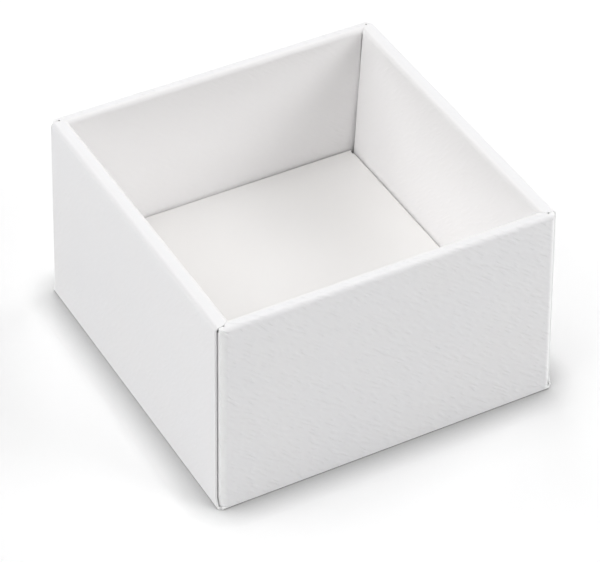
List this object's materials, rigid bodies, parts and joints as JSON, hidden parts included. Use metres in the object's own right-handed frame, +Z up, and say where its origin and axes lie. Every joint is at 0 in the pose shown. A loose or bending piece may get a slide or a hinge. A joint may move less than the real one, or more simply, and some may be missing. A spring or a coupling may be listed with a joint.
{
  "type": "gift box",
  "caption": "Square open gift box folded from card, with rolled rim, double walls, corner seams and a smooth raised floor; the lid is not shown.",
  "frame": {"origin": "centre of the underside, on the table", "axes": "+Z up through the open top, -Y out of the front wall, whose ends fold round the upright corners, +X out of the right wall"},
  "size_m": [0.08, 0.08, 0.047],
  "materials": {
    "embossed_card": "matte white card with a fine diagonal silk emboss",
    "smooth_card": "matte smooth white card"
  },
  "bodies": {
    "root": {"box_tray": "embossed_card", "raised_platform": "smooth_card"}
  },
  "joints": []
}
